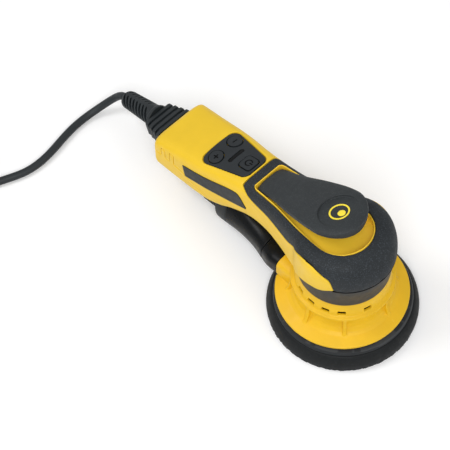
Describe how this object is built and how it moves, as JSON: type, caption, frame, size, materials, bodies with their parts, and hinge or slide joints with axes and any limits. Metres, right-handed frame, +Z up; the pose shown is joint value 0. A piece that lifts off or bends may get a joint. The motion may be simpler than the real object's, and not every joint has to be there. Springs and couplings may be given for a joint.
{
  "type": "random-orbit polisher",
  "caption": "Corded random-orbit polisher with a palm lever over the head, foam hook pad, ribbed dust shroud, dust duct under the handle and a keypad.",
  "frame": {"origin": "on the working face of the pad, on the motor's axis; the pad's own axis lies half an orbit in front", "axes": "+X from the handle to the head, +Z up along the motor's axis, +Y to the left of a user behind the handle"},
  "size_m": [0.4749, 0.2809, 0.1367],
  "materials": {
    "yellow_plastic": "satin",
    "black_plastic": "satin",
    "soft_grip": "matt",
    "inner_plastic": "matt",
    "hook_fabric": "matt",
    "pad_foam": "matt",
    "cable_rubber": "satin",
    "steel": "satin",
    "core_steel": "matt",
    "copper": "satin",
    "alloy": "satin",
    "lens": "gloss",
    "board": "satin",
    "capacitor_can": "satin",
    "nickel": "polished"
  },
  "bodies": {
    "machine": {"lower_bearing": "steel", "upper_bearing": "steel", "stator_core": "core_steel", "stator_windings": "copper", "motor_plate": "alloy", "motor_screws": "steel", "motor_collar": "black_plastic", "dust_shroud": "yellow_plastic", "brake_seal": "soft_grip", "duct_elbow": "black_plastic", "dust_duct": "black_plastic", "hose_fitting": "black_plastic", "housing_shell": "yellow_plastic", "rear_cover": "yellow_plastic", "cover_screws": "steel", "top_cover": "inner_plastic", "head_grip": "soft_grip", "lever_bed": "yellow_plastic", "lever_pin": "steel", "lever_spring": "steel", "side_plate_right": "black_plastic", "side_plate_left": "black_plastic", "keypad": "black_plastic", "led_lens": "lens", "control_board": "board", "capacitors": "capacitor_can", "heat_sink": "alloy", "cable_bellows": "cable_rubber", "cable_boot": "cable_rubber", "cord": "cable_rubber", "cord_coil": "cable_rubber", "cord_tie": "hook_fabric", "plug": "cable_rubber", "plug_pins": "nickel"},
    "lever": {"lever": "black_plastic", "lever_mark": "yellow_plastic", "lever_magnet": "steel"},
    "plus_key": {"plus_key": "soft_grip"},
    "minus_key": {"minus_key": "soft_grip"},
    "power_key": {"power_key": "soft_grip"},
    "rotor": {"motor_shaft": "steel", "rotor_core": "core_steel", "rotor_magnets": "steel", "cooling_fan": "black_plastic", "eccentric_hub": "steel", "spindle_bearings": "steel"},
    "pad": {"spindle": "steel", "spindle_circlip": "steel", "pad_stud": "steel", "pad_plate": "inner_plastic", "pad_foam": "pad_foam", "hook_facing": "hook_fabric"}
  },
  "joints": [
    {"name": "lever_press", "type": "hinge", "parent": "machine", "child": "lever", "pos_m": [-0.077, 0, 0.08733], "axis": [0, 1, 0], "range_deg": [0, 6], "stiffness_Nm_per_rad": 2, "springref_deg": -6.88, "deforming": ["lever_spring"]},
    {"name": "plus_press", "type": "slide", "parent": "machine", "child": "plus_key", "axis": [0.2874, 0, -0.9578], "range_m": [0, 0.0007], "stiffness_N_per_m": 1500},
    {"name": "minus_press", "type": "slide", "parent": "machine", "child": "minus_key", "axis": [0.2874, 0, -0.9578], "range_m": [0, 0.0007], "stiffness_N_per_m": 1500},
    {"name": "power_press", "type": "slide", "parent": "machine", "child": "power_key", "axis": [0.2874, 0, -0.9578], "range_m": [0, 0.0007], "stiffness_N_per_m": 1500},
    {"name": "motor_spin", "type": "hinge", "parent": "machine", "child": "rotor", "pos_m": [0, 0, 0.07], "axis": [0, 0, 1], "continuous": true},
    {"name": "pad_spin", "type": "hinge", "parent": "rotor", "child": "pad", "pos_m": [0.00125, 0, 0.035], "axis": [0, 0, 1], "continuous": true}
  ]
}
